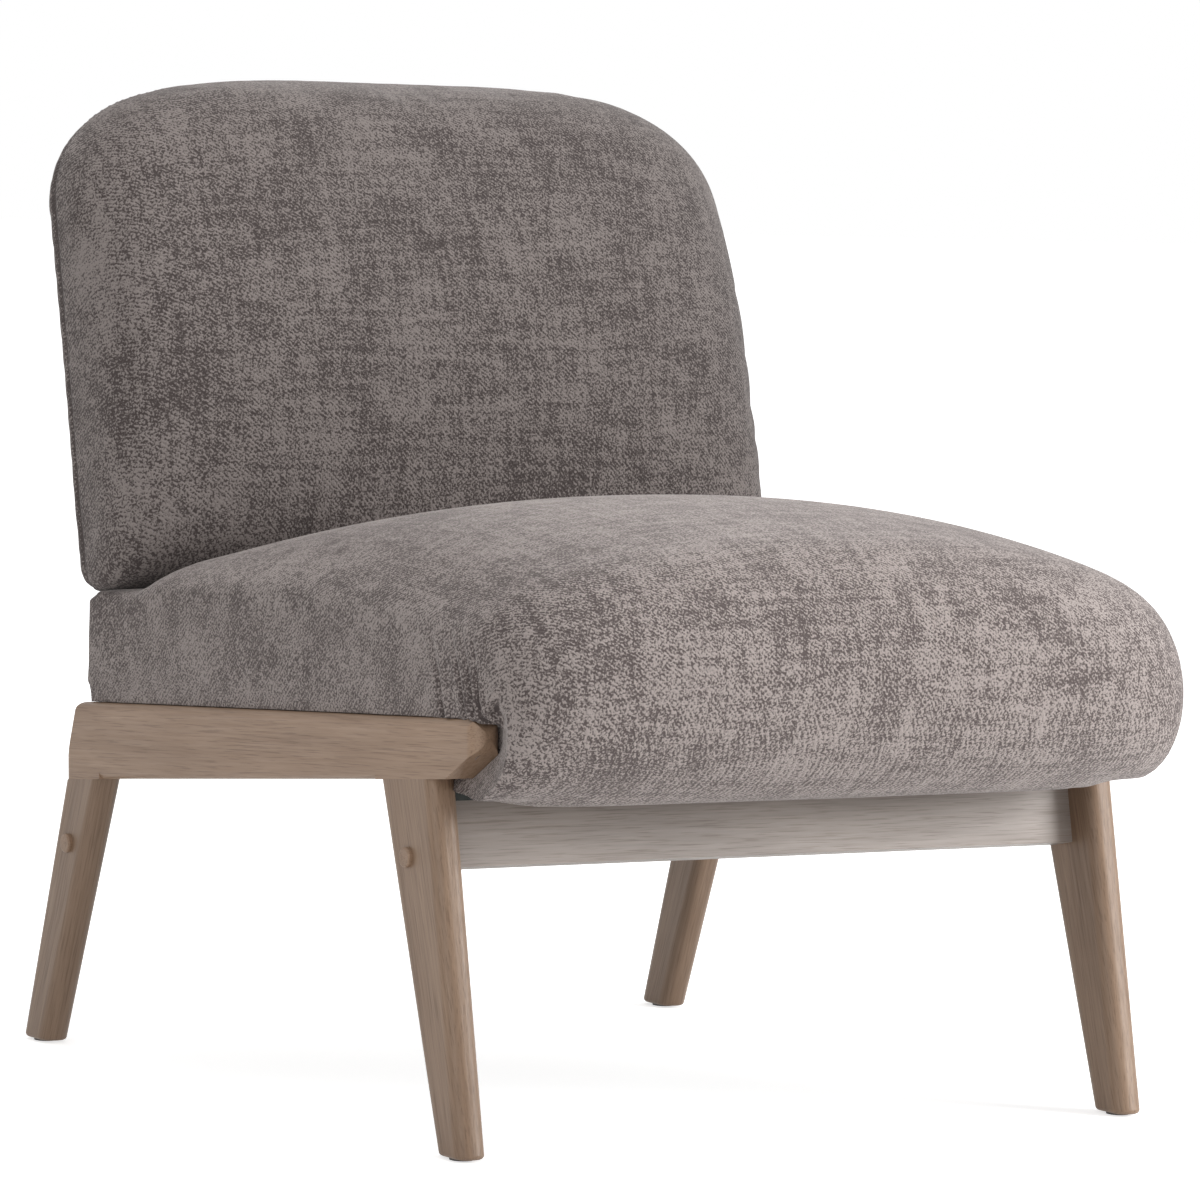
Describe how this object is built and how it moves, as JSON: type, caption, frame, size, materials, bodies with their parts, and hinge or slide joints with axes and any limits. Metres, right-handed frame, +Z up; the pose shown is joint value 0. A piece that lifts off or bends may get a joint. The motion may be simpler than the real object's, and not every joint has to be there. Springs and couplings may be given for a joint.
{
  "type": "accent chair",
  "caption": "Armless accent chair: plump taupe-grey upholstered seat and rounded reclined back on a grey-washed wooden frame with splayed, tapered board legs",
  "frame": {"origin": "middle of the chair's box, on the floor under the glides", "axes": "+Z is up, the chair faces -Y, +X is the sitter's left"},
  "size_m": [0.6122, 0.7682, 0.7606],
  "materials": {
    "upholstery": "soft brushed twill",
    "lining": "dull non-woven",
    "webbing": "coarse weave",
    "foam": "open-cell foam, dull",
    "wood": "grey-washed, satin",
    "inner_wood": "bare, planed",
    "steel": "zinc plated",
    "bracket": "black powder coat",
    "glide": "moulded, dull"
  },
  "bodies": {
    "root": {"right_side_rail": "wood", "left_side_rail": "wood", "right_front_leg": "wood", "left_front_leg": "wood", "right_rear_leg": "wood", "left_rear_leg": "wood", "front_apron": "wood", "rear_rail": "wood", "leg_plugs": "wood", "corner_blocks": "inner_wood", "leg_dowels": "inner_wood", "apron_dowels": "inner_wood", "rear_rail_dowels": "inner_wood", "apron_bolts": "steel", "apron_barrel_nuts": "steel", "rear_leg_bolts": "steel", "rear_leg_washers": "steel", "rear_leg_barrel_nuts": "steel", "corner_block_screws": "steel", "floor_glides": "glide", "dust_cover": "lining", "seat_frame_right_member": "inner_wood", "seat_frame_left_member": "inner_wood", "seat_frame_front_member": "inner_wood", "seat_frame_rear_member": "inner_wood", "seat_frame_dowels": "inner_wood", "seat_front_board": "inner_wood", "front_board_screws": "steel", "seat_fixing_screws": "steel", "seat_webbing_lengthwise": "webbing", "seat_webbing_crosswise": "webbing", "seat_foam": "foam", "seat_cover": "upholstery", "back_right_post": "inner_wood", "back_left_post": "inner_wood", "back_low_rail": "inner_wood", "back_high_rail": "inner_wood", "back_frame_dowels": "inner_wood", "back_webbing": "webbing", "back_foam": "foam", "back_cover": "upholstery", "back_rear_panel": "upholstery", "right_back_bracket": "bracket", "left_back_bracket": "bracket", "bracket_bolts": "steel", "bracket_nuts": "steel"}
  },
  "joints": []
}
